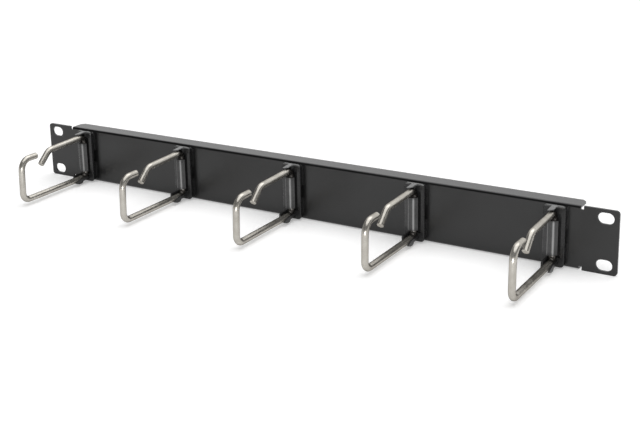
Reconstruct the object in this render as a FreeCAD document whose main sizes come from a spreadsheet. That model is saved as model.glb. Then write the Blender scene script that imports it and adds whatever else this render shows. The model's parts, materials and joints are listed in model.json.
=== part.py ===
import FreeCAD, Part
import math
import os
import Sketcher

# Horizontal cable manager for a 19-inch rack, one rack unit high.
# A folded steel panel carries a row of moulded holders, and each holder grips a bent wire ring.
# The origin is the middle of the ears' rear face, which seats on the rack's rails.
# +X runs along the panel, -Y points out of the rack towards the rings, and +Z is up.

# Driving dimensions in millimetres, angles in degrees: name, value and meaning
DIMENSIONS = [
    ("panel_width", "482.6", "panel, from ear to ear"),
    ("ear_height", "43.9", "panel height at the ears"),
    ("sheet_thickness", "1.5", "steel sheet"),
    ("ear_corner_radius", "2.5", "rounding of the ears' outer corners"),
    ("slot_inset_x", "8.75", "ear's end to the rack slots' middle"),
    ("slot_inset_z", "6.075", "ear's edge to the rack slots' middle"),
    ("slot_length", "10.8", "rack slot, end to end"),
    ("slot_width", "7.6", "rack slot, across"),
    ("ear_length", "25.3", "ear's end to the folded flange"),
    ("flange_depth", "13.2", "panel's front face to the flange's rear edge"),
    ("flange_drop", "0.35", "ear's edge to the flange's outer face"),
    ("flange_corner", "2.6", "cut corner at each end of the flange's rear edge"),
    ("bend_radius", "0.4", "inside radius of the folds"),
    ("relief_width", "2", "notch between the flange and the ear"),
    ("relief_past_bend", "0.1", "bend's start to the rounding of the relief's floor"),
    ("relief_radius", "0.4", "rounding of the notch's floor"),
    ("ring_end_margin", "16", "flange's end to the outer rings' middle"),
    ("plate_width", "15.6", "holder's back plate, across"),
    ("plate_inset", "0.8", "frame's upper and lower end to the back plate's"),
    ("plate_thickness", "1.4", "holder's back plate"),
    ("plate_corner_radius", "2.6", "rounding of the back plate's corners"),
    ("web_thickness", "1.9", "web between the back plate and the frame"),
    ("web_inset", "1.3", "frame's edge to the web"),
    ("frame_width", "15", "holder's front frame, across"),
    ("frame_margin", "4.1", "ring's limbs to the frame's ends, on average"),
    ("frame_thickness", "1.5", "holder's front frame"),
    ("frame_corner_radius", "2.4", "rounding of the frame's and the web's corners"),
    ("frame_edge_chamfer", "0.4", "broken front edge of the frame"),
    ("groove_reach", "5.1", "ring's middle to the groove's right wall"),
    ("upper_land", "5", "frame's upper end to the groove"),
    ("lower_land", "6.6", "frame's lower end to the groove"),
    ("cover_wall", "0.9", "cover over the ring's rear limb"),
    ("cover_ridge", "1.3", "ring's middle to the ridge of the cover's front"),
    ("cover_lip", "0.6", "rear limb's axis to the cover's free edge on the right"),
    ("cover_ridge_radius", "0.8", "rounding of the cover's ridge"),
    ("cover_corner_radius", "1.2", "rounding of the cover's left front corner"),
    ("hook_gap", "0.95", "ring's seat to the hook above it"),
    ("hook_width", "3.4", "hook, across"),
    ("hook_thickness", "1", "hook at the root"),
    ("hook_tip", "0.4", "hook at the tip"),
    ("hook_reach", "13", "panel's front face to the hook's tip"),
    ("hook_corner", "2.4", "slanted cut at the right of the hook's tip"),
    ("cheek_thickness", "1.4", "wall on the left of the ring's lower limb"),
    ("cheek_height", "4.2", "same wall, in height"),
    ("cheek_reach", "16.2", "panel's front face to the wall's front"),
    ("cheek_corner_radius", "1.2", "rounding of the wall's upper front corner"),
    ("claw_thickness", "1.2", "claw on the right of the ring's lower limb"),
    ("claw_height", "2.4", "claw at the root"),
    ("claw_rise", "1.1", "lower limb's axis to the claw's upper edge"),
    ("claw_reach", "20.8", "panel's front face to the claw's tip"),
    ("claw_tip_length", "7", "claw's heel to its tip"),
    ("claw_drop", "1.7", "claw's heel below its root"),
    ("claw_tip", "0.4", "claw at the tip"),
    ("side_notch_height", "10.2", "notch in the holder's side beside a snap arm"),
    ("side_notch_depth", "2.2", "same notch, from the frame's edge"),
    ("snap_height", "9", "snap arm in height"),
    ("snap_thickness", "1.6", "snap arm across"),
    ("snap_spread", "10.4", "outer faces of the two snap arms"),
    ("snap_length", "3.6", "snap arm behind the panel"),
    ("snap_barb", "1", "barb beyond the arm's outer face"),
    ("snap_clearance", "0.15", "snap arm to the panel's window"),
    ("seat_clearance", "0.1", "ring to its seat in the holder"),
    ("wire_diameter", "4.8", "ring's wire"),
    ("wire_standoff", "5", "panel's front face to the rear limb's axis"),
    ("limb_margin", "10.25", "ear height less the spacing of the ring's limbs"),
    ("limb_drop", "0.475", "ring's middle below the panel's"),
    ("upper_slope", "1.6", "slope of the upper limb, down to the front"),
    ("ring_reach", "76.2", "panel's front face to the front limb's axis at its foot"),
    ("front_lean", "2", "lean of the front limb back towards the panel, upwards"),
    ("rear_bend_radius", "5", "bends inside the clips, on the axis"),
    ("front_bend_radius", "6", "lower front bend, on the axis"),
    ("tip_bend_radius", "8.5", "upper front bend, on the axis"),
    ("tip_fall", "1.55", "upper limb's axis down to the short leg's"),
    ("tip_length", "17.2", "front limb's foot back to the short leg's end"),
    ("mouth", "4", "short leg's end back to the sloping leg's end"),
    ("drop_fall", "10.15", "upper limb's axis down to the sloping leg's end"),
    ("drop_angle", "43", "slope of that leg"),
    ("drop_bend_radius", "9", "bend above the sloping leg, on the axis"),
    ("wire_end_chamfer", "0.4", "broken edge at the wire's cut ends"),
]

# Places of the rings along the panel, in pitches from its middle, from left to right
RING_PLACES = (-2, -1, 0, 1, 2)

# Lengths shorter than this are taken as equal when edges are picked
TOUCH = 0.01

# Heights and half lengths on the panel
EAR_EDGE = "(size.ear_height / 2)"
FLANGE_FACE = "(size.ear_height / 2 - size.flange_drop)"
FLANGE_INSIDE = f"({FLANGE_FACE} - size.sheet_thickness)"
FOLD_RADIUS = "(size.bend_radius + size.sheet_thickness)"
RELIEF_FLOOR = f"({FLANGE_FACE} - {FOLD_RADIUS} - size.relief_radius - size.relief_past_bend)"
FLANGE_END = "(size.panel_width / 2 - size.ear_length)"
EAR_START = f"({FLANGE_END} + size.relief_width)"
SLOT_ACROSS = "(size.panel_width / 2 - size.slot_inset_x)"
SLOT_UP = "(size.ear_height / 2 - size.slot_inset_z)"
RING_PITCH = f"(({FLANGE_END} - size.ring_end_margin) / {RING_PLACES[-1]})"
FLANGE_REAR = "(size.flange_depth - size.sheet_thickness)"

# Distances in front of the origin, along -Y
PANEL_FACE = "size.sheet_thickness"
PLATE_FACE = "(size.sheet_thickness + size.plate_thickness)"
FRAME_BACK = f"({PLATE_FACE} + size.web_thickness)"
FRAME_FACE = f"({FRAME_BACK} + size.frame_thickness)"
WIRE_AXIS = "(size.sheet_thickness + size.wire_standoff)"
SEAT = "(size.wire_diameter / 2 + size.seat_clearance)"
GROOVE_FLOOR = f"({WIRE_AXIS} - {SEAT})"
FOOT = f"({PANEL_FACE} + size.ring_reach)"
TIP_END = f"({FOOT} - size.tip_length)"
DROP_END = f"({TIP_END} - size.mouth)"

# Heights and half widths on the holder and the ring, from the panel's middle
HALF_SPACING = "((size.ear_height - size.limb_margin) / 2)"
UPPER_LIMB = f"({HALF_SPACING} - size.limb_drop)"
LOWER_LIMB = f"({HALF_SPACING} + size.limb_drop)"
CLIP_ROOF = f"({UPPER_LIMB} + {SEAT} + size.hook_gap)"
CLIP_FLOOR = f"({LOWER_LIMB} + {SEAT})"
FRAME_END = f"({HALF_SPACING} + size.frame_margin)"
GROOVE_TOP = f"({FRAME_END} - size.upper_land)"
GROOVE_BOTTOM = f"({FRAME_END} - size.lower_land)"
COVER_TOP = f"({UPPER_LIMB} - size.rear_bend_radius)"
COVER_BOTTOM = f"({LOWER_LIMB} - size.rear_bend_radius)"
TIP_HEIGHT = f"({UPPER_LIMB} - size.tip_fall)"
DROP_HEIGHT = f"({UPPER_LIMB} - size.drop_fall)"
ARM_FACE = "(size.snap_spread / 2)"
WINDOW_HALF = f"({ARM_FACE} + size.snap_clearance)"


doc = FreeCAD.newDocument("cable_manager")
sheet = doc.addObject("Spreadsheet::Sheet", "size")
for row, (name, number, meaning) in enumerate(DIMENSIONS, start=1):
    sheet.set(f"A{row}", meaning)
    sheet.set(f"B{row}", number)
    sheet.setAlias(f"B{row}", name)
doc.recompute()


def value(expression):
    """Number that an expression over the sheet's names has now."""
    return float(sheet.evalExpression(expression.replace("size.", "")))


def origin_plane(body, role):
    """Plane of the body's own origin with the given role."""
    return next(feature for feature in body.Origin.OriginFeatures if feature.Role == role)


def new_body(label):
    """Empty body with the given label."""
    body = doc.addObject("PartDesign::Body", label)
    body.Label = label
    return body


def new_sketch(body, name, role, offset="0"):
    """Sketch on one of the body's origin planes, moved along that plane's normal."""
    sketch = body.newObject("Sketcher::SketchObject", name)
    sketch.AttachmentSupport = [(origin_plane(body, role), "")]
    sketch.MapMode = "FlatFace"
    sketch.setExpression("AttachmentOffset.Base.z", offset)
    return sketch


def bind(sketch, kind, geometry, expression):
    """Constraint of the given kind whose value follows an expression, in degrees for an angle."""
    number = math.radians(value(expression)) if kind == "Angle" else value(expression)
    index = sketch.addConstraint(Sketcher.Constraint(kind, *geometry, number))
    sketch.setExpression(f"Constraints[{index}]", expression)


def bind_point(sketch, element, point, across, up):
    """Ties a point of an element to two expressions, measured from the sketch's origin."""
    bind(sketch, "DistanceX", (-1, 1, element, point), across)
    bind(sketch, "DistanceY", (-1, 1, element, point), up)


def add_outline(sketch, corners):
    """Closed outline of straight lines, with a pair of expressions for each corner."""
    points = [FreeCAD.Vector(value(across), value(up), 0) for across, up in corners]
    first = sketch.GeometryCount
    for start, end in zip(points, points[1:] + points[:1]):
        sketch.addGeometry(Part.LineSegment(start, end), False)
    for number, (across, up) in enumerate(corners):
        line = first + number
        following = first + (number + 1) % len(corners)
        sketch.addConstraint(Sketcher.Constraint("Coincident", line, 2, following, 1))
        bind_point(sketch, line, 1, across, up)


def add_rectangle(sketch, left, right, low, high):
    """Rectangle between two expressions across and two in height."""
    add_outline(sketch, [(left, low), (right, low), (right, high), (left, high)])


def add_centred_rectangle(sketch, half_width, half_height):
    """Rectangle about the sketch's origin."""
    add_rectangle(sketch, f"-{half_width}", half_width, f"-{half_height}", half_height)


def add_slot(sketch, across, up, length, width):
    """Slot with round ends that runs across, about the given centre."""
    radius = value(width) / 2
    half_run = (value(length) - value(width)) / 2
    left = FreeCAD.Vector(value(across) - half_run, value(up), 0)
    right = FreeCAD.Vector(value(across) + half_run, value(up), 0)
    rise = FreeCAD.Vector(0, radius, 0)
    normal = FreeCAD.Vector(0, 0, 1)
    quarter = math.pi / 2
    left_arc = Part.ArcOfCircle(Part.Circle(left, normal, radius), quarter, 3 * quarter)
    right_arc = Part.ArcOfCircle(Part.Circle(right, normal, radius), -quarter, quarter)
    left_end = sketch.addGeometry(left_arc, False)
    lower = sketch.addGeometry(Part.LineSegment(left - rise, right - rise), False)
    right_end = sketch.addGeometry(right_arc, False)
    upper = sketch.addGeometry(Part.LineSegment(right + rise, left + rise), False)
    ring = [left_end, lower, right_end, upper]
    for element, following in zip(ring, ring[1:] + ring[:1]):
        sketch.addConstraint(Sketcher.Constraint("Tangent", element, 2, following, 1))
    sketch.addConstraint(Sketcher.Constraint("Equal", left_end, right_end))
    sketch.addConstraint(Sketcher.Constraint("Horizontal", lower))
    bind(sketch, "Radius", (left_end,), f"{width} / 2")
    bind_point(sketch, left_end, 3, f"{across} - ({length} - {width}) / 2", up)
    bind(sketch, "DistanceX", (-1, 1, right_end, 3), f"{across} + ({length} - {width}) / 2")


def add_pad(body, sketch, length, side="One side", backward=False):
    """Pad of a sketch along its normal."""
    pad = body.newObject("PartDesign::Pad", f"{sketch.Name}_pad")
    pad.Profile = sketch
    pad.SideType = side
    pad.Reversed = backward
    pad.setExpression("Length", length)
    doc.recompute()
    return pad


def add_pocket(body, sketch, depth):
    """Pocket of a sketch against its normal, tested to take material away."""
    before = body.Shape.Volume
    pocket = body.newObject("PartDesign::Pocket", f"{sketch.Name}_pocket")
    pocket.Profile = sketch
    pocket.setExpression("Length", depth)
    doc.recompute()
    if body.Shape.Volume >= before:
        raise RuntimeError(f"{pocket.Name} cuts nothing")
    return pocket


def runs_along(edge, axis):
    """True for a straight edge parallel to the given axis."""
    straight = edge.Curve.TypeId == "Part::GeomLine"
    return straight and abs(getattr(edge.tangentAt(edge.FirstParameter), axis)) > 1 - TOUCH


def lies_at(edge, **places):
    """True where the edge's middle has the given distances from the origin planes, on either side."""
    middle = edge.CenterOfMass
    return all(abs(abs(getattr(middle, axis)) - value(place)) < TOUCH for axis, place in places.items())


def pick_edges(feature, axis, **places):
    """Names of the straight edges along an axis that lie at the given places."""
    edges = enumerate(feature.Shape.Edges, start=1)
    return [f"Edge{number}" for number, edge in edges if runs_along(edge, axis) and lies_at(edge, **places)]


def dress_edges(body, kind, name, edges, size_property, expression):
    """Fillet or chamfer on edges of the body's tip."""
    base = body.Tip
    dressed = body.newObject(f"PartDesign::{kind}", name)
    dressed.Base = (base, edges)
    dressed.setExpression(size_property, expression)
    doc.recompute()
    return dressed


def make_panel():
    """Steel panel: ears with rack slots, and a middle part folded back along both long edges."""
    body = new_body("rack_panel")
    blank = new_sketch(body, "panel_blank", "XZ_Plane")
    add_centred_rectangle(blank, "(size.panel_width / 2)", EAR_EDGE)
    add_pad(body, blank, "size.sheet_thickness")
    cut_fold_edges(body)
    cut_rack_slots(body)
    cut_holder_windows(body)
    fold_flanges(body)
    return body


def cut_fold_edges(body):
    """Lowers the blank between the ears, with a relief notch at each end of each fold."""
    notch = new_sketch(body, "panel_fold_cut", "XZ_Plane", PANEL_FACE)
    beyond = f"({EAR_EDGE} + size.sheet_thickness)"
    half = [
        (EAR_START, beyond),
        (EAR_START, RELIEF_FLOOR),
        (FLANGE_END, RELIEF_FLOOR),
        (FLANGE_END, FLANGE_FACE),
    ]
    for sign in ("", "-"):
        right = [(across, f"{sign}{up}") for across, up in half]
        left = [(f"-{across}", f"{sign}{up}") for across, up in reversed(half)]
        add_outline(notch, right + left)
    add_pocket(body, notch, "size.sheet_thickness")


def fold_flanges(body):
    """Folds a flange back along the upper edge and mirrors it to the lower edge."""
    profile = new_sketch(body, "panel_flange", "YZ_Plane")
    add_rectangle(profile, f"-{PANEL_FACE}", FLANGE_REAR, FLANGE_INSIDE, FLANGE_FACE)
    flange = add_pad(body, profile, f"2 * {FLANGE_END}", side="Symmetric")
    mirrored = body.newObject("PartDesign::Mirrored", "panel_lower_flange")
    mirrored.Originals = [flange]
    mirrored.MirrorPlane = (origin_plane(body, "XY_Plane"), [""])
    body.Tip = mirrored
    doc.recompute()
    outside = pick_edges(body.Tip, "x", x="0", y=PANEL_FACE, z=FLANGE_FACE)
    dress_edges(body, "Fillet", "fold_outside", outside, "Radius", FOLD_RADIUS)
    inside = pick_edges(body.Tip, "x", x="0", y="0", z=FLANGE_INSIDE)
    dress_edges(body, "Fillet", "fold_inside", inside, "Radius", "size.bend_radius")
    corners = pick_edges(body.Tip, "z", x=FLANGE_END, y=FLANGE_REAR)
    dress_edges(body, "Chamfer", "flange_corners", corners, "Size", "size.flange_corner")
    floors = pick_edges(body.Tip, "y", x=FLANGE_END, z=RELIEF_FLOOR)
    floors += pick_edges(body.Tip, "y", x=EAR_START, z=RELIEF_FLOOR)
    dress_edges(body, "Fillet", "relief_floors", floors, "Radius", "size.relief_radius")
    ears = pick_edges(body.Tip, "y", x="size.panel_width / 2", z=EAR_EDGE)
    dress_edges(body, "Fillet", "ear_corners", ears, "Radius", "size.ear_corner_radius")


def cut_rack_slots(body):
    """Cuts the four slots for the rack's screws."""
    slots = new_sketch(body, "panel_slots", "XZ_Plane", PANEL_FACE)
    for across in (SLOT_ACROSS, f"-{SLOT_ACROSS}"):
        for up in (SLOT_UP, f"-{SLOT_UP}"):
            add_slot(slots, across, up, "size.slot_length", "size.slot_width")
    add_pocket(body, slots, "size.sheet_thickness")


def cut_holder_windows(body):
    """Cuts one window for the snap arms of each holder."""
    windows = new_sketch(body, "panel_windows", "XZ_Plane", PANEL_FACE)
    half_height = "(size.snap_height / 2 + size.snap_clearance)"
    for place in RING_PLACES:
        middle = f"{place} * {RING_PITCH}"
        left = f"({middle} - {WINDOW_HALF})"
        right = f"({middle} + {WINDOW_HALF})"
        add_rectangle(windows, left, right, f"-{half_height}", half_height)
    add_pocket(body, windows, "size.sheet_thickness")


def make_holder(number, place):
    """Moulded holder: back plate, web and front frame, with a clip for the ring at each end."""
    body = new_body(f"ring_holder_{number}")
    stack_plates(body, number)
    cut_wire_seat(body, number)
    add_cover(body, number)
    add_hook(body, number)
    add_cheek(body, number)
    add_claw(body, number)
    add_snap_arms(body, number)
    body.setExpression("Placement.Base.x", f"{place} * {RING_PITCH}")
    return body


def stack_plates(body, number):
    """Back plate, narrower web and front frame, one on the other, with the frame's front edge broken."""
    plate = ("(size.plate_width / 2)", f"({FRAME_END} - size.plate_inset)")
    web = ("(size.frame_width / 2 - size.web_inset)", f"({FRAME_END} - size.web_inset)")
    frame = ("(size.frame_width / 2)", FRAME_END)
    web_radius = "size.frame_corner_radius - size.web_inset"
    layers = [
        ("plate", PANEL_FACE, "size.plate_thickness", plate, "size.plate_corner_radius"),
        ("web", PLATE_FACE, "size.web_thickness", web, web_radius),
        ("frame", FRAME_BACK, "size.frame_thickness", frame, "size.frame_corner_radius"),
    ]
    for name, start, thickness, (half_width, half_height), radius in layers:
        layer = new_sketch(body, f"{name}_{number}", "XZ_Plane", start)
        add_centred_rectangle(layer, half_width, half_height)
        add_pad(body, layer, thickness)
        corners = pick_edges(body.Tip, "y", x=half_width, z=half_height)
        dress_edges(body, "Fillet", f"{name}_corners_{number}", corners, "Radius", radius)
    sides = pick_edges(body.Tip, "z", x=frame[0], y=FRAME_FACE)
    dress_edges(body, "Chamfer", f"frame_edge_{number}", sides, "Size", "size.frame_edge_chamfer")


def cut_wire_seat(body, number):
    """Slot for the ring, widened on its right between the clips, and notches beside the snap arms."""
    depth = f"({FRAME_FACE} - {GROOVE_FLOOR})"
    slot = new_sketch(body, f"wire_slot_{number}", "XZ_Plane", FRAME_FACE)
    add_rectangle(slot, f"-{SEAT}", SEAT, f"-{CLIP_FLOOR}", CLIP_ROOF)
    add_pocket(body, slot, depth)
    groove = new_sketch(body, f"groove_{number}", "XZ_Plane", FRAME_FACE)
    add_rectangle(groove, "0", "size.groove_reach", f"-{GROOVE_BOTTOM}", GROOVE_TOP)
    add_pocket(body, groove, depth)
    notches = new_sketch(body, f"side_notches_{number}", "XZ_Plane", FRAME_BACK)
    inner = "(size.frame_width / 2 - size.side_notch_depth)"
    outer = "(size.plate_width / 2 + size.side_notch_depth)"
    half_height = "size.side_notch_height / 2"
    add_rectangle(notches, inner, outer, f"-{half_height}", half_height)
    add_rectangle(notches, f"-{outer}", f"-{inner}", f"-{half_height}", half_height)
    add_pocket(body, notches, "size.plate_thickness + size.web_thickness")


def add_cover(body, number):
    """Cover over the ring's rear limb, joined to the frame on the left and open towards the groove."""
    outer = f"({SEAT} + size.cover_wall)"
    inside = f"({WIRE_AXIS} + {SEAT})"
    front = f"({inside} + size.cover_wall)"
    lip = f"({WIRE_AXIS} + size.cover_lip)"
    bevel = f"({SEAT} * tan(22.5 deg))"
    cover = new_sketch(body, f"cover_{number}", "XY_Plane", f"-{COVER_BOTTOM}")
    add_outline(cover, [
        (f"-{outer}", f"-{FRAME_BACK}"),
        (f"-{outer}", f"-{front}"),
        ("size.cover_ridge", f"-{front}"),
        (outer, f"-{lip}"),
        (SEAT, f"-{lip}"),
        (SEAT, f"-({WIRE_AXIS} + {bevel})"),
        (bevel, f"-{inside}"),
        (f"-{SEAT}", f"-{inside}"),
        (f"-{SEAT}", f"-{FRAME_BACK}"),
    ])
    add_pad(body, cover, f"{COVER_TOP} + {COVER_BOTTOM}")
    for name, across in (("ridge", "size.cover_ridge"), ("corner", outer)):
        edge = pick_edges(body.Tip, "z", x=across, y=front)
        dress_edges(body, "Fillet", f"cover_{name}_{number}", edge, "Radius", f"size.cover_{name}_radius")


def add_hook(body, number):
    """Flat hook over the ring's upper limb, thinner towards its tip, which is cut at a slant."""
    tip = f"({PANEL_FACE} + size.hook_reach)"
    root = f"({CLIP_ROOF} + size.hook_thickness)"
    hook = new_sketch(body, f"hook_{number}", "YZ_Plane")
    add_outline(hook, [
        (f"-{FRAME_BACK}", CLIP_ROOF),
        (f"-{tip}", CLIP_ROOF),
        (f"-{tip}", f"({CLIP_ROOF} + size.hook_tip)"),
        (f"-{FRAME_FACE}", root),
        (f"-{FRAME_BACK}", root),
    ])
    add_pad(body, hook, "size.hook_width", side="Symmetric")
    slant = new_sketch(body, f"hook_slant_{number}", "XY_Plane", root)
    side = "(size.hook_width / 2)"
    add_outline(slant, [
        (side, f"-({tip} - size.hook_corner)"),
        (f"({side} - size.hook_corner)", f"-{tip}"),
        (side, f"-{tip}"),
    ])
    add_pocket(body, slant, "size.hook_thickness")


def add_cheek(body, number):
    """Wall on the left of the ring's lower limb, which the ring is pressed against."""
    front = f"({PANEL_FACE} + size.cheek_reach)"
    outer = f"({SEAT} + size.cheek_thickness)"
    cheek = new_sketch(body, f"cheek_{number}", "XZ_Plane", FRAME_FACE)
    low = f"-({GROOVE_BOTTOM} + size.cheek_height)"
    add_rectangle(cheek, f"-{outer}", f"-{SEAT}", low, f"-{GROOVE_BOTTOM}")
    add_pad(body, cheek, f"{front} - {FRAME_FACE}")
    corner = pick_edges(body.Tip, "x", y=front, z=GROOVE_BOTTOM)
    radius = "size.cheek_corner_radius"
    dress_edges(body, "Fillet", f"cheek_corner_{number}", corner, "Radius", radius)


def add_claw(body, number):
    """Springy claw on the right of the ring's lower limb, with a heel below it and a tip that rises."""
    tip = f"({PANEL_FACE} + size.claw_reach)"
    heel = f"({tip} - size.claw_tip_length)"
    middle = f"({tip} - size.claw_tip_length / 2)"
    top = f"({LOWER_LIMB} - size.claw_rise)"
    root = f"({top} + size.claw_height)"
    sole = f"({root} + size.claw_drop)"
    tip_low = f"({root} + size.claw_tip)"
    claw = new_sketch(body, f"claw_{number}", "YZ_Plane", SEAT)
    add_outline(claw, [
        (f"-{FRAME_BACK}", f"-{top}"),
        (f"-{heel}", f"-{top}"),
        (f"-{middle}", f"-({top} + size.claw_height / 2)"),
        (f"-{tip}", f"-{root}"),
        (f"-{tip}", f"-{tip_low}"),
        (f"-{middle}", f"-{sole}"),
        (f"-{heel}", f"-{sole}"),
        (f"-({heel} - size.claw_drop)", f"-{root}"),
        (f"-{FRAME_BACK}", f"-{root}"),
    ])
    add_pad(body, claw, "size.claw_thickness")


def add_snap_arms(body, number):
    """Two arms through the panel's window, each with a barb behind the sheet."""
    arms = new_sketch(body, f"snap_arms_{number}", "XZ_Plane", PANEL_FACE)
    barbs = new_sketch(body, f"snap_barbs_{number}", "XY_Plane")
    inner = f"({ARM_FACE} - size.snap_thickness)"
    point = f"({ARM_FACE} + size.snap_barb)"
    half_height = "size.snap_height / 2"
    for sign in ("", "-"):
        add_rectangle(arms, f"{sign}{inner}", f"{sign}{ARM_FACE}", f"-{half_height}", half_height)
        catch = "size.snap_clearance"
        add_outline(barbs, [
            (f"{sign}{inner}", catch),
            (f"{sign}{point}", catch),
            (f"{sign}{ARM_FACE}", "size.snap_length"),
            (f"{sign}{inner}", "size.snap_length"),
        ])
    add_pad(body, arms, "size.sheet_thickness + size.snap_length", backward=True)
    add_pad(body, barbs, "size.snap_height", side="Symmetric")


def add_ring_path(sketch):
    """Axis of the ring's wire: six straight runs joined by five bends, all turning the same way."""
    head = f"({FOOT} - ({TIP_HEIGHT} + {LOWER_LIMB}) * tan(size.front_lean * 1 deg))"
    drop_run = "(size.drop_fall / tan(size.drop_angle * 1 deg))"
    corners = [
        (f"-{TIP_END}", TIP_HEIGHT),
        (f"-{head}", TIP_HEIGHT),
        (f"-{FOOT}", f"-{LOWER_LIMB}"),
        (f"-{WIRE_AXIS}", f"-{LOWER_LIMB}"),
        (f"-{WIRE_AXIS}", UPPER_LIMB),
        (f"-({DROP_END} - {drop_run})", UPPER_LIMB),
        (f"-{DROP_END}", DROP_HEIGHT),
    ]
    radii = [
        "size.tip_bend_radius",
        "size.front_bend_radius",
        "size.rear_bend_radius",
        "size.rear_bend_radius",
        "size.drop_bend_radius",
    ]
    points = [FreeCAD.Vector(value(across), value(up), 0) for across, up in corners]
    runs, bends = add_rounded_path(sketch, points, [value(radius) for radius in radii])
    tip_leg, front_limb, lower_limb, rear_limb, upper_limb, drop_leg = runs
    for bend, radius in zip(bends, radii):
        bind(sketch, "Radius", (bend,), radius)
    for run in (tip_leg, lower_limb):
        sketch.addConstraint(Sketcher.Constraint("Horizontal", run))
    sketch.addConstraint(Sketcher.Constraint("Vertical", rear_limb))
    bind(sketch, "Angle", (front_limb,), "270 - size.front_lean")
    bind(sketch, "Angle", (upper_limb,), "180 + size.upper_slope")
    bind(sketch, "Angle", (drop_leg,), "180 + size.drop_angle")
    bind_point(sketch, tip_leg, 1, *corners[0])
    foot_cut = "size.front_bend_radius * tan((90 + size.front_lean) / 2 * 1 deg)"
    bind_point(sketch, lower_limb, 1, f"-({FOOT} - {foot_cut})", f"-{LOWER_LIMB}")
    bind(sketch, "DistanceX", (-1, 1, rear_limb, 1), f"-{WIRE_AXIS}")
    bind(sketch, "DistanceY", (-1, 1, upper_limb, 1), UPPER_LIMB)
    bind_point(sketch, drop_leg, 2, *corners[-1])


def add_rounded_path(sketch, points, radii):
    """Straight runs between points, joined by tangent arcs that turn anticlockwise."""
    cuts = [0.0]
    for before, corner, after, radius in zip(points, points[1:], points[2:], radii):
        turn = (corner - before).getAngle(after - corner)
        cuts.append(radius * math.tan(turn / 2))
    cuts.append(0.0)
    runs, bends = [], []
    normal = FreeCAD.Vector(0, 0, 1)
    for number, (start, end) in enumerate(zip(points, points[1:])):
        along = (end - start).normalize()
        first = start + along * cuts[number]
        last = end - along * cuts[number + 1]
        if runs:
            radius = radii[number - 1]
            centre = first + normal.cross(along) * radius
            heading = math.atan2(along.y, along.x) - math.pi / 2
            turn = (points[number] - points[number - 1]).getAngle(along)
            circle = Part.Circle(centre, normal, radius)
            bends.append(sketch.addGeometry(Part.ArcOfCircle(circle, heading - turn, heading), False))
        runs.append(sketch.addGeometry(Part.LineSegment(first, last), False))
    for number, bend in enumerate(bends):
        sketch.addConstraint(Sketcher.Constraint("Tangent", runs[number], 2, bend, 1))
        sketch.addConstraint(Sketcher.Constraint("Tangent", bend, 2, runs[number + 1], 1))
    return runs, bends


def make_ring(number, place):
    """Open wire ring, swept along its bent axis, with the edges of its cut ends broken."""
    body = new_body(f"cable_ring_{number}")
    path = new_sketch(body, f"ring_axis_{number}", "YZ_Plane")
    add_ring_path(path)
    section = new_sketch(body, f"ring_section_{number}", "XZ_Plane", TIP_END)
    centre = FreeCAD.Vector(0, value(TIP_HEIGHT), 0)
    circle = Part.Circle(centre, FreeCAD.Vector(0, 0, 1), value("size.wire_diameter / 2"))
    element = section.addGeometry(circle, False)
    bind(section, "Radius", (element,), "size.wire_diameter / 2")
    bind_point(section, element, 3, "0", TIP_HEIGHT)
    doc.recompute()
    pipe = body.newObject("PartDesign::AdditivePipe", f"ring_wire_{number}")
    pipe.Profile = section
    pipe.Spine = path
    doc.recompute()
    ends = [
        FreeCAD.Vector(0, -value(TIP_END), value(TIP_HEIGHT)),
        FreeCAD.Vector(0, -value(DROP_END), value(DROP_HEIGHT)),
    ]
    edges = enumerate(pipe.Shape.Edges, start=1)
    cut_edges = [f"Edge{count}" for count, edge in edges if edge.Closed and is_near(edge.CenterOfMass, ends)]
    dress_edges(body, "Chamfer", f"wire_ends_{number}", cut_edges, "Size", "size.wire_end_chamfer")
    body.setExpression("Placement.Base.x", f"{place} * {RING_PITCH}")
    return body


def is_near(point, places):
    """True where a point lies at one of the given places."""
    return any(point.distanceToPoint(place) < TOUCH for place in places)


parts = [make_panel()]
for number, place in enumerate(RING_PLACES, start=1):
    parts.append(make_holder(number, place))
    parts.append(make_ring(number, place))
doc.recompute()

failed = [item.Name for item in doc.Objects if "Invalid" in item.State or "Error" in item.State]
failed += [part.Label for part in parts if part.Shape.isNull() or not part.Shape.isValid()]
if failed:
    raise RuntimeError(f"not built: {failed}")

os.makedirs("parts", exist_ok=True)
for part in parts:
    part.Shape.exportStep(f"parts/{part.Label}.step")
    print(part.Label, len(part.Shape.Solids), round(part.Shape.Volume, 2))
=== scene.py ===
"""Looks of a horizontal cable manager for a 19-inch rack: finishes, floor, light and camera."""

import json
import math

import bpy
from mathutils import Matrix, Vector


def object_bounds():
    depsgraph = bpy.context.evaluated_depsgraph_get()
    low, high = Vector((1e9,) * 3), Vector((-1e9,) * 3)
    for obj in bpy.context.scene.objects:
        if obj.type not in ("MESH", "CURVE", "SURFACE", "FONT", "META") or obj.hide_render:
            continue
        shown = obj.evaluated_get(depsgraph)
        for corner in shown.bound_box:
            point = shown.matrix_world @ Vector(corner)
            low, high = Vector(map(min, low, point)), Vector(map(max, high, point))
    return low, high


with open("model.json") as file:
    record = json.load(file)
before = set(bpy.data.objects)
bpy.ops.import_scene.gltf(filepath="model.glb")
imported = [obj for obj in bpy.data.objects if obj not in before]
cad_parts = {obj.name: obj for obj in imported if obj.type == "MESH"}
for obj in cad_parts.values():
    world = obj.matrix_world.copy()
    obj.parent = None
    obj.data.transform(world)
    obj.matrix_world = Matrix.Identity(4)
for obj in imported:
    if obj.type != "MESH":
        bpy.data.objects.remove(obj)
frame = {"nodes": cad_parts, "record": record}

packed_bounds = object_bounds()

# The photograph's frame, in pixels, and its row on the camera's optical axis
IMAGE_WIDTH = 640
IMAGE_HEIGHT = 427
AXIS_ROW = 120

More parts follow.
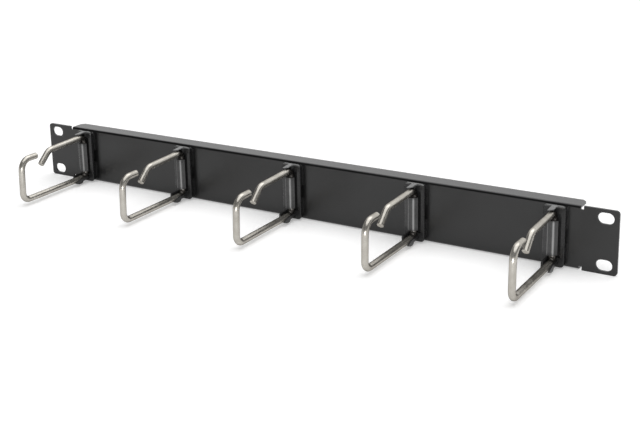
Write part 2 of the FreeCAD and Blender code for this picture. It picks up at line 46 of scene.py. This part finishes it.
# Camera: the point it looks at and the side it looks from, with lens and sensor in millimetres
CAMERA_TARGET = Vector((0.0228, -0.0015, 0.0557))
CAMERA_AZIMUTH = math.radians(31.03)
CAMERA_ELEVATION = math.radians(14.70)
CAMERA_ROLL = math.radians(1.12)
CAMERA_DISTANCE = 0.8216
CAMERA_LENS = 64.65
SENSOR_WIDTH = 36.0
UPWARDS = Vector((0.0, 0.0, 1.0))

# Floor, and the glow that shows it as white
FLOOR_SIZE = 30.0
FLOOR_COLOUR = (0.80, 0.80, 0.80, 1.0)
FLOOR_GLOW = 0.31

# Studio: the even light on the object, and the levels that the camera and shiny surfaces see
# The backdrop's edge is the cosine to its direction, the horizon's the sine of the elevation
GLOW_COLOUR = (1.0, 1.0, 1.0, 1.0)
WORLD_LIGHT = 0.36
STUDIO_LEVEL = 0.14
BACKDROP_DIRECTION = (-0.10, 0.88, 0.46)
BACKDROP_EDGE = (0.56, 0.76)
BACKDROP_LEVEL = 1.25
HORIZON_EDGE = (0.36, 0.16)
HORIZON_LEVEL = 0.75

# Soft lamp overhead, and a low fill beside the camera with its size in metres and power in watts
LAMP_DIRECTION = (0.12, 0.12, 1.0)
LAMP_ANGLE = math.radians(75.0)
LAMP_STRENGTH = 2.0
FILL_PLACE = (0.42, -0.74, 0.06)
FILL_SIZE = (0.30, 0.14)
FILL_POWER = 2.6

# Most of a noise lies in this range, which is spread over the range of what it drives
NOISE_RANGE = (0.3, 0.7)

# Powder coat: noises in features per metre, and the bump's height in metres
PANEL_DARK = (0.0035, 0.0035, 0.0037, 1.0)
PANEL_LIGHT = (0.0070, 0.0070, 0.0072, 1.0)
PANEL_SHEEN = 0.52
FOLD_SHEEN = 0.12
PANEL_ROUGHNESS = (0.28, 0.36)
PANEL_GRAIN = 1400.0
PANEL_CLOUD = 28.0
PANEL_BUMP = 0.00004

# Band of the upper fold, where the surface's upward tilt lies between the face's 0 and the flange's 1
FOLD_TILT = (0.55, 0.45, 0.15)

# Moulded plastic, in the same units
HOLDER_DARK = (0.012, 0.012, 0.0123, 1.0)
HOLDER_LIGHT = (0.019, 0.019, 0.0195, 1.0)
# Colour of the painted highlights along the holder's edges and ridge
HOLDER_HIGHLIGHT = (0.30, 0.30, 0.30, 1.0)
HOLDER_SHEEN = 0.34
HOLDER_ROUGHNESS = (0.22, 0.32)
HOLDER_GRAIN = 2200.0
HOLDER_FLOW = 90.0
HOLDER_BUMP = 0.00003

# Painted highlights on the holder's edges and a painted reflection on the cover's front: a band
# across, in depth and in height, and the share of painted light
# A band is its middle, half width and flat half width, as shares of the holder's box
COVER_HEIGHT = (0.488, 0.33, 0.22)
PAINTED_HIGHLIGHTS = {
    "ridge of the cover": ((0.570, 0.07, 0.0), (0.48, 0.05, 0.0), COVER_HEIGHT, 1.0),
    "front of the cover": ((0.460, 0.28, 0.24), (0.52, 0.10, 0.06), COVER_HEIGHT, 0.12),
    "left corner of the cover": ((0.300, 0.06, 0.0), (0.50, 0.06, 0.0), COVER_HEIGHT, 0.75),
    "left edge of the frame": ((0.030, 0.05, 0.0), (0.62, 0.06, 0.0), COVER_HEIGHT, 0.18),
    "left side of the frame": ((0.130, 0.17, 0.10), (0.62, 0.06, 0.02), COVER_HEIGHT, 0.10),
    "top of the hook": ((0.500, 0.16, 0.12), (0.46, 0.20, 0.14), (1.0, 0.06, 0.03), 0.36),
    "top of the frame": ((0.500, 0.50, 0.44), (0.65, 0.07, 0.04), (1.0, 0.03, 0.015), 0.26),
}
HIGHLIGHT_LEAST = 0.8
HIGHLIGHT_MOST = 1.2

# Nickel-plated wire, in the same units, with drawing marks stretched along the ring's plane
WIRE_DARK = (0.39, 0.37, 0.335, 1.0)
WIRE_LIGHT = (0.48, 0.46, 0.42, 1.0)
WIRE_EDGE = (0.35, 0.34, 0.33, 1.0)
# Colour of the painted shade on the wire inside the clips
WIRE_CLIP_SHADE = (0.08, 0.075, 0.07, 1.0)
WIRE_METAL = 0.86
WIRE_ROUGHNESS = (0.22, 0.28)
WIRE_BLOTCH = 160.0
WIRE_MARKS = 3000.0
MARKS_STRETCH = (1.0, 0.06, 0.06)
WIRE_BUMP = 0.00001

# Start and end of the painted shade where the wire enters its clips, as shares of its box in depth
CLIP_SHADE_EDGE = (0.870, 0.910)


def new_material(name):
    """Node material with a Principled shader, and that shader."""
    material = bpy.data.materials.new(name)
    material.use_nodes = True
    return material, material.node_tree.nodes["Principled BSDF"]


def add_node(tree, kind, **values):
    """Node of a kind, with the given values on its inputs or properties."""
    node = tree.nodes.new(kind)
    for name, value in values.items():
        socket = node.inputs.get(name.replace("_", " "))
        if socket is None:
            setattr(node, name, value)
        else:
            socket.default_value = value
    return node


def add_chain(tree, operation, values):
    """Two or more values joined one after the other by a math operation."""
    result = values[0]
    for value in values[1:]:
        step = add_node(tree, "ShaderNodeMath", operation=operation)
        tree.links.new(result, step.inputs[0])
        tree.links.new(value, step.inputs[1])
        result = step.outputs["Value"]
    return result


def add_map(tree, source, given, wanted, curve="LINEAR"):
    """Value taken from a given range to a wanted one, and held at its ends."""
    spread = add_node(tree, "ShaderNodeMapRange", interpolation_type=curve)
    for name, value in zip(("From Min", "From Max", "To Min", "To Max"), (*given, *wanted)):
        spread.inputs[name].default_value = value
    tree.links.new(source, spread.inputs["Value"])
    return spread.outputs["Result"]


def add_axes(tree, kind, name):
    """The three components of a vector that a kind of node gives out under a name."""
    source = add_node(tree, kind)
    axes = add_node(tree, "ShaderNodeSeparateXYZ")
    tree.links.new(source.outputs[name], axes.inputs["Vector"])
    return axes.outputs


def add_noise(tree, scale, detail=4.0, stretch=(1.0, 1.0, 1.0)):
    """Noise in the object's own coordinates, in features per metre."""
    place = add_node(tree, "ShaderNodeTexCoord")
    mapping = add_node(tree, "ShaderNodeMapping", Scale=stretch)
    noise = add_node(tree, "ShaderNodeTexNoise", Scale=scale, Detail=detail)
    tree.links.new(place.outputs["Object"], mapping.inputs["Vector"])
    tree.links.new(mapping.outputs["Vector"], noise.inputs["Vector"])
    return noise.outputs["Fac"]


def add_ramp(tree, source, *colours):
    """Noise spread between two colours."""
    ramp = add_node(tree, "ShaderNodeValToRGB")
    for stop, position, colour in zip(ramp.color_ramp.elements, NOISE_RANGE, colours):
        stop.position = position
        stop.color = colour
    tree.links.new(source, ramp.inputs["Fac"])
    return ramp.outputs["Color"]


def add_mix(tree, share, colour, other):
    """Colour that gives way to another by a share."""
    mix = add_node(tree, "ShaderNodeMix", data_type="RGBA")
    sockets = {socket.identifier: socket for socket in mix.inputs}
    sockets["B_Color"].default_value = other
    tree.links.new(share, sockets["Factor_Float"])
    tree.links.new(colour, sockets["A_Color"])
    return next(socket for socket in mix.outputs if socket.identifier == "Result_Color")


def add_bump(tree, source, height):
    """Bump of the given height in metres."""
    bump = add_node(tree, "ShaderNodeBump", Distance=height)
    tree.links.new(source, bump.inputs["Height"])
    return bump.outputs["Normal"]


def add_band(tree, place, middle, half_width, flat):
    """1 up to the flat half width from a band's middle, falling to 0 at its edges."""
    offset = add_node(tree, "ShaderNodeMath", operation="SUBTRACT")
    offset.inputs[1].default_value = middle
    distance = add_node(tree, "ShaderNodeMath", operation="ABSOLUTE")
    tree.links.new(place, offset.inputs[0])
    tree.links.new(offset.outputs["Value"], distance.inputs[0])
    return add_map(tree, distance.outputs["Value"], (flat, half_width), (1.0, 0.0), "SMOOTHSTEP")


def add_painted_highlights(tree, flow):
    """Share of painted highlight on the holder's front and upper edges, uneven along their length."""
    axes = add_axes(tree, "ShaderNodeTexCoord", "Generated")
    places = []
    for across, deep, high, share in PAINTED_HIGHLIGHTS.values():
        places.append(add_chain(tree, "MULTIPLY", [
            add_band(tree, axes["X"], *across),
            add_band(tree, axes["Y"], *deep),
            add_band(tree, axes["Z"], *high),
            add_map(tree, flow, NOISE_RANGE, (HIGHLIGHT_LEAST * share, HIGHLIGHT_MOST * share)),
        ]))
    return add_chain(tree, "ADD", places)


def add_clip_shade(tree):
    """Share of painted shade on the wire's rear end, inside the clips."""
    depth = add_axes(tree, "ShaderNodeTexCoord", "Generated")["Y"]
    return add_map(tree, depth, CLIP_SHADE_EDGE, (0.0, 1.0), "SMOOTHSTEP")


def add_fold_sheen(tree):
    """Sheen of the coat, duller along the upper fold."""
    tilt = add_axes(tree, "ShaderNodeNewGeometry", "Normal")["Z"]
    fold = add_band(tree, tilt, *FOLD_TILT)
    return add_map(tree, fold, (0.0, 1.0), (PANEL_SHEEN, FOLD_SHEEN))


def make_powder_coat():
    """Satin black powder coat on steel: a fine orange peel and a faint cloudiness."""
    material, shader = new_material("powder_coat")
    tree = material.node_tree
    grain = add_noise(tree, PANEL_GRAIN)
    cloud = add_noise(tree, PANEL_CLOUD, detail=2.0)
    paint = add_ramp(tree, cloud, PANEL_DARK, PANEL_LIGHT)
    roughness = add_map(tree, grain, NOISE_RANGE, PANEL_ROUGHNESS)
    tree.links.new(add_fold_sheen(tree), shader.inputs["Specular IOR Level"])
    tree.links.new(paint, shader.inputs["Base Color"])
    tree.links.new(roughness, shader.inputs["Roughness"])
    tree.links.new(add_bump(tree, grain, PANEL_BUMP), shader.inputs["Normal"])
    return material


def make_moulded_plastic():
    """Black moulded plastic with a fine mould grain, and painted highlights along its edges."""
    material, shader = new_material("moulded_plastic")
    tree = material.node_tree
    shader.inputs["Specular IOR Level"].default_value = HOLDER_SHEEN
    grain = add_noise(tree, HOLDER_GRAIN)
    flow = add_noise(tree, HOLDER_FLOW, detail=2.0)
    plastic = add_ramp(tree, flow, HOLDER_DARK, HOLDER_LIGHT)
    # Painted highlights and a painted reflection mixed into the plastic's colour
    highlighted_plastic = add_mix(tree, add_painted_highlights(tree, flow), plastic, HOLDER_HIGHLIGHT)
    roughness = add_map(tree, grain, NOISE_RANGE, HOLDER_ROUGHNESS)
    tree.links.new(highlighted_plastic, shader.inputs["Base Color"])
    tree.links.new(roughness, shader.inputs["Roughness"])
    tree.links.new(add_bump(tree, grain, HOLDER_BUMP), shader.inputs["Normal"])
    return material


def make_nickel_wire():
    """Nickel-plated drawn wire: warm silver, with faint drawing marks, small blotches and painted
    shade inside the clips.
    """
    material, shader = new_material("nickel_wire")
    tree = material.node_tree
    shader.inputs["Metallic"].default_value = WIRE_METAL
    shader.inputs["Specular Tint"].default_value = WIRE_EDGE
    blotch = add_noise(tree, WIRE_BLOTCH, detail=3.0)
    marks = add_noise(tree, WIRE_MARKS, detail=2.0, stretch=MARKS_STRETCH)
    plating = add_ramp(tree, blotch, WIRE_DARK, WIRE_LIGHT)
    # Plating darkened by painted shade where the wire enters its clips
    shaded_plating = add_mix(tree, add_clip_shade(tree), plating, WIRE_CLIP_SHADE)
    roughness = add_map(tree, blotch, NOISE_RANGE, WIRE_ROUGHNESS)
    tree.links.new(shaded_plating, shader.inputs["Base Color"])
    tree.links.new(roughness, shader.inputs["Roughness"])
    tree.links.new(add_bump(tree, marks, WIRE_BUMP), shader.inputs["Normal"])
    return material


def finish_nodes():
    """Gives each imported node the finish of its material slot."""
    finishes = {
        "panel": make_powder_coat(),
        "holder": make_moulded_plastic(),
        "ring": make_nickel_wire(),
    }
    for part in frame["record"]["subparts"]:
        for slot in frame["nodes"][part["node"]].material_slots:
            slot.material = finishes[part["material_slot"]]


def add_seen_factor(tree):
    """1 for the rays that show the background: from the camera, or by way of metal or glass."""
    rays = add_node(tree, "ShaderNodeLightPath").outputs
    kinds = ("Is Camera Ray", "Is Glossy Ray", "Is Transmission Ray")
    return add_chain(tree, "MAXIMUM", [rays[kind] for kind in kinds])


def make_floor():
    """Pale floor under the lowest point of the object, which keeps its soft shadow."""
    material = bpy.data.materials.new("pale_floor")
    material.use_nodes = True
    tree = material.node_tree
    tree.nodes.clear()
    paint = add_node(tree, "ShaderNodeBsdfDiffuse", Color=FLOOR_COLOUR)
    glow = add_node(tree, "ShaderNodeEmission", Color=GLOW_COLOUR)
    strength = add_map(tree, add_seen_factor(tree), (0.0, 1.0), (0.0, FLOOR_GLOW))
    both = add_node(tree, "ShaderNodeAddShader")
    output = add_node(tree, "ShaderNodeOutputMaterial")
    tree.links.new(strength, glow.inputs["Strength"])
    tree.links.new(paint.outputs["BSDF"], both.inputs[0])
    tree.links.new(glow.outputs["Emission"], both.inputs[1])
    tree.links.new(both.outputs["Shader"], output.inputs["Surface"])
    bpy.ops.mesh.primitive_plane_add(size=FLOOR_SIZE, location=(0.0, 0.0, packed_bounds[0][2]))
    floor = bpy.context.object
    floor.name = "floor"
    floor.data.materials.append(material)


def add_glow(tree, source, edge, level):
    """Strength that rises softly from the dark studio's to a level between the edge's two values."""
    return add_map(tree, source, edge, (STUDIO_LEVEL, level), "SMOOTHSTEP")


def make_world():
    """Dark studio with a pale horizon and a white backdrop, and an even light on the object."""
    world = bpy.data.worlds.new("studio")
    bpy.context.scene.world = world
    world.use_nodes = True
    tree = world.node_tree
    background = tree.nodes["Background"]
    background.inputs["Color"].default_value = GLOW_COLOUR
    direction = add_node(tree, "ShaderNodeTexCoord").outputs["Generated"]
    height = add_axes(tree, "ShaderNodeTexCoord", "Generated")["Z"]
    towards = add_node(tree, "ShaderNodeVectorMath", operation="DOT_PRODUCT")
    towards.inputs[1].default_value = BACKDROP_DIRECTION
    tree.links.new(direction, towards.inputs[0])
    shown = add_chain(tree, "MAXIMUM", [
        add_glow(tree, height, HORIZON_EDGE, HORIZON_LEVEL),
        add_glow(tree, towards.outputs["Value"], BACKDROP_EDGE, BACKDROP_LEVEL),
    ])
    strength = add_node(tree, "ShaderNodeMapRange", To_Min=WORLD_LIGHT)
    tree.links.new(add_seen_factor(tree), strength.inputs["Value"])
    tree.links.new(shown, strength.inputs["To Max"])
    tree.links.new(strength.outputs["Result"], background.inputs["Strength"])


def add_lamp(name, kind, direction):
    """Lamp of a kind that shines from a direction, and its object."""
    lamp = bpy.data.lights.new(name, kind)
    stand = bpy.data.objects.new(name, lamp)
    bpy.context.scene.collection.objects.link(stand)
    stand.rotation_euler = Vector(direction).to_track_quat("Z", "Y").to_euler()
    return lamp, stand


def make_lights():
    """Large soft light overhead, which falls evenly on the floor, and a low fill beside the camera."""
    overhead, _ = add_lamp("overhead", "SUN", LAMP_DIRECTION)
    overhead.angle = LAMP_ANGLE
    overhead.energy = LAMP_STRENGTH
    fill, stand = add_lamp("fill", "AREA", FILL_PLACE)
    fill.shape = "RECTANGLE"
    fill.size, fill.size_y = FILL_SIZE
    fill.energy = FILL_POWER
    stand.location = FILL_PLACE
    stand.visible_camera = False


def make_camera():
    """Camera of the photograph, whose optical axis lies above the middle of the picture."""
    level = Vector((math.sin(CAMERA_AZIMUTH), -math.cos(CAMERA_AZIMUTH), 0.0))
    back = math.cos(CAMERA_ELEVATION) * level + math.sin(CAMERA_ELEVATION) * UPWARDS
    right = UPWARDS.cross(back).normalized()
    up = back.cross(right)
    rolled_right = math.cos(CAMERA_ROLL) * right - math.sin(CAMERA_ROLL) * up
    rolled_up = math.sin(CAMERA_ROLL) * right + math.cos(CAMERA_ROLL) * up
    turn = Matrix((rolled_right, rolled_up, back)).transposed().to_4x4()
    lens = bpy.data.cameras.new("camera")
    lens.sensor_fit = "HORIZONTAL"
    lens.sensor_width = SENSOR_WIDTH
    lens.lens = CAMERA_LENS
    lens.shift_y = (AXIS_ROW - IMAGE_HEIGHT / 2) / IMAGE_WIDTH
    camera = bpy.data.objects.new("camera", lens)
    bpy.context.scene.collection.objects.link(camera)
    camera.matrix_world = Matrix.Translation(CAMERA_TARGET + CAMERA_DISTANCE * back) @ turn
    bpy.context.scene.camera = camera


finish_nodes()
make_floor()
make_world()
make_lights()
make_camera()
bpy.context.scene.view_settings.view_transform = "Standard"
